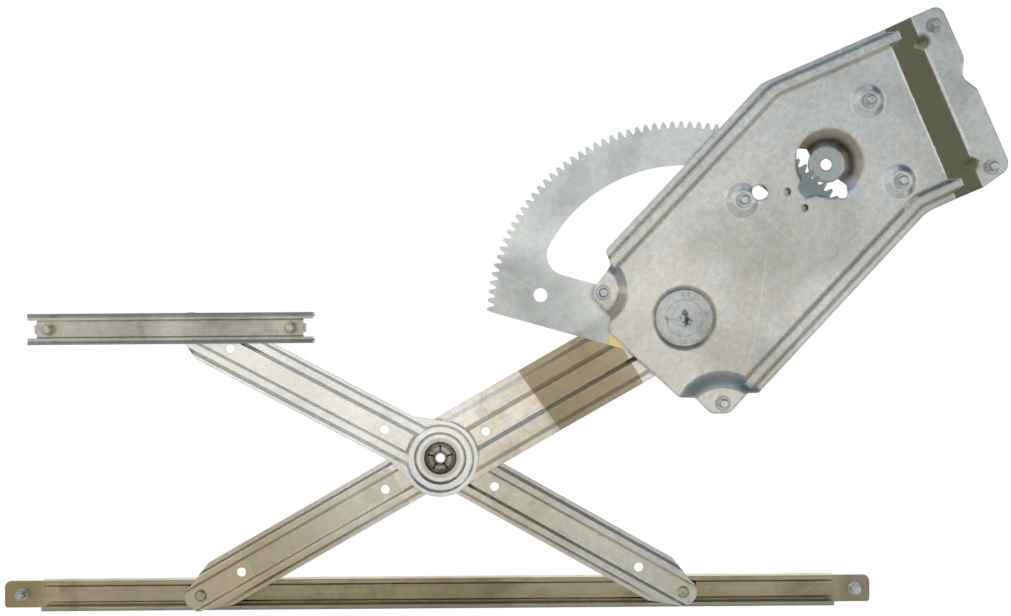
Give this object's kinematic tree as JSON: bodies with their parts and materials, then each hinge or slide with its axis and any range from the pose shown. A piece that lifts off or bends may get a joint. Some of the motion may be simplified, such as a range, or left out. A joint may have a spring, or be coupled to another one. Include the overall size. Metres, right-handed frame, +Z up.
{
  "type": "window regulator",
  "caption": "Scissor window regulator: pressed base plate with pinion bowl, toothed sector on a lift arm, crossed idler arm, fixed guide rail and lift rail on nylon shoes.",
  "frame": {"origin": "on the locating stud's axis, at the mounting face that lies on the door panel", "axes": "+X along both rails towards the pinion end, +Z up as fitted in the door, -Y out along the studs towards the panel"},
  "size_m": [0.6258, 0.05, 0.3699],
  "materials": {
    "zinc_plate": "zinc-plated pressed sheet, satin",
    "sector_steel": "zinc-plated blanked sheet, satin",
    "arm_steel": "yellow-grey zinc plating, satin",
    "rail_steel": "rolled zinc-plated strip, satin",
    "stud_steel": "zinc-plated",
    "pin_steel": "bright steel",
    "greased_steel": "steel under old grease",
    "sintered_bronze": "sintered, oiled",
    "nylon": "dark nylon"
  },
  "bodies": {
    "base": {"base_plate": "zinc_plate", "panel_studs": "stud_steel", "motor_studs": "stud_steel", "pivot_pin": "pin_steel", "pivot_collar": "pin_steel", "guide_rail": "rail_steel", "guide_rail_studs": "stud_steel"},
    "lift_arm": {"lift_arm": "arm_steel", "sector_gear": "sector_steel", "sector_rivets": "pin_steel", "pivot_bush": "sintered_bronze", "pivot_washer": "nylon", "lift_arm_shoe_pin": "pin_steel"},
    "idler": {"idler_arm_upper": "arm_steel", "idler_arm_lower": "arm_steel", "scissor_hub": "greased_steel", "hub_washer_front": "nylon", "hub_washer_rear": "nylon", "idler_shoe_pins": "pin_steel"},
    "lift_arm_shoe": {"lift_arm_shoe": "nylon"},
    "idler_upper_shoe": {"idler_upper_shoe": "nylon"},
    "idler_lower_shoe": {"idler_lower_shoe": "nylon"},
    "lift_rail": {"lift_rail": "rail_steel", "lift_rail_studs": "stud_steel"}
  },
  "joints": [
    {"name": "lift_arm_pivot", "type": "hinge", "parent": "base", "child": "lift_arm", "pos_m": [0.0504, 0.015, -0.0158], "axis": [0, 1, 0], "range_deg": [-11, 70]},
    {"name": "scissor_pivot", "type": "hinge", "parent": "lift_arm", "child": "idler", "pos_m": [-0.10089, 0.023, -0.10175], "axis": [0, 1, 0], "range_deg": [-140, 22]},
    {"name": "lift_arm_shoe_pivot", "type": "hinge", "parent": "lift_arm", "child": "lift_arm_shoe", "pos_m": [-0.25218, 0.035, -0.18769], "axis": [0, 1, 0], "range_deg": [-70, 11]},
    {"name": "idler_upper_shoe_pivot", "type": "hinge", "parent": "idler", "child": "idler_upper_shoe", "pos_m": [-0.25438, 0.008, -0.01979], "axis": [0, 1, 0], "range_deg": [-11, 70]},
    {"name": "idler_lower_shoe_pivot", "type": "hinge", "parent": "idler", "child": "idler_lower_shoe", "pos_m": [0.0504, 0.035, -0.18769], "axis": [0, 1, 0], "range_deg": [-11, 70]},
    {"name": "lift_rail_slide", "type": "slide", "parent": "idler_lower_shoe", "child": "lift_rail", "axis": [1, 0, 0], "range_m": [-0.02, 0.02]}
  ],
  "couplings": [
    {"joint": "scissor_pivot", "follows": "lift_arm_pivot", "ratio": -2},
    {"joint": "lift_arm_shoe_pivot", "follows": "lift_arm_pivot", "ratio": -1},
    {"joint": "idler_upper_shoe_pivot", "follows": "lift_arm_pivot", "ratio": 1},
    {"joint": "idler_lower_shoe_pivot", "follows": "lift_arm_pivot", "ratio": 1}
  ]
}
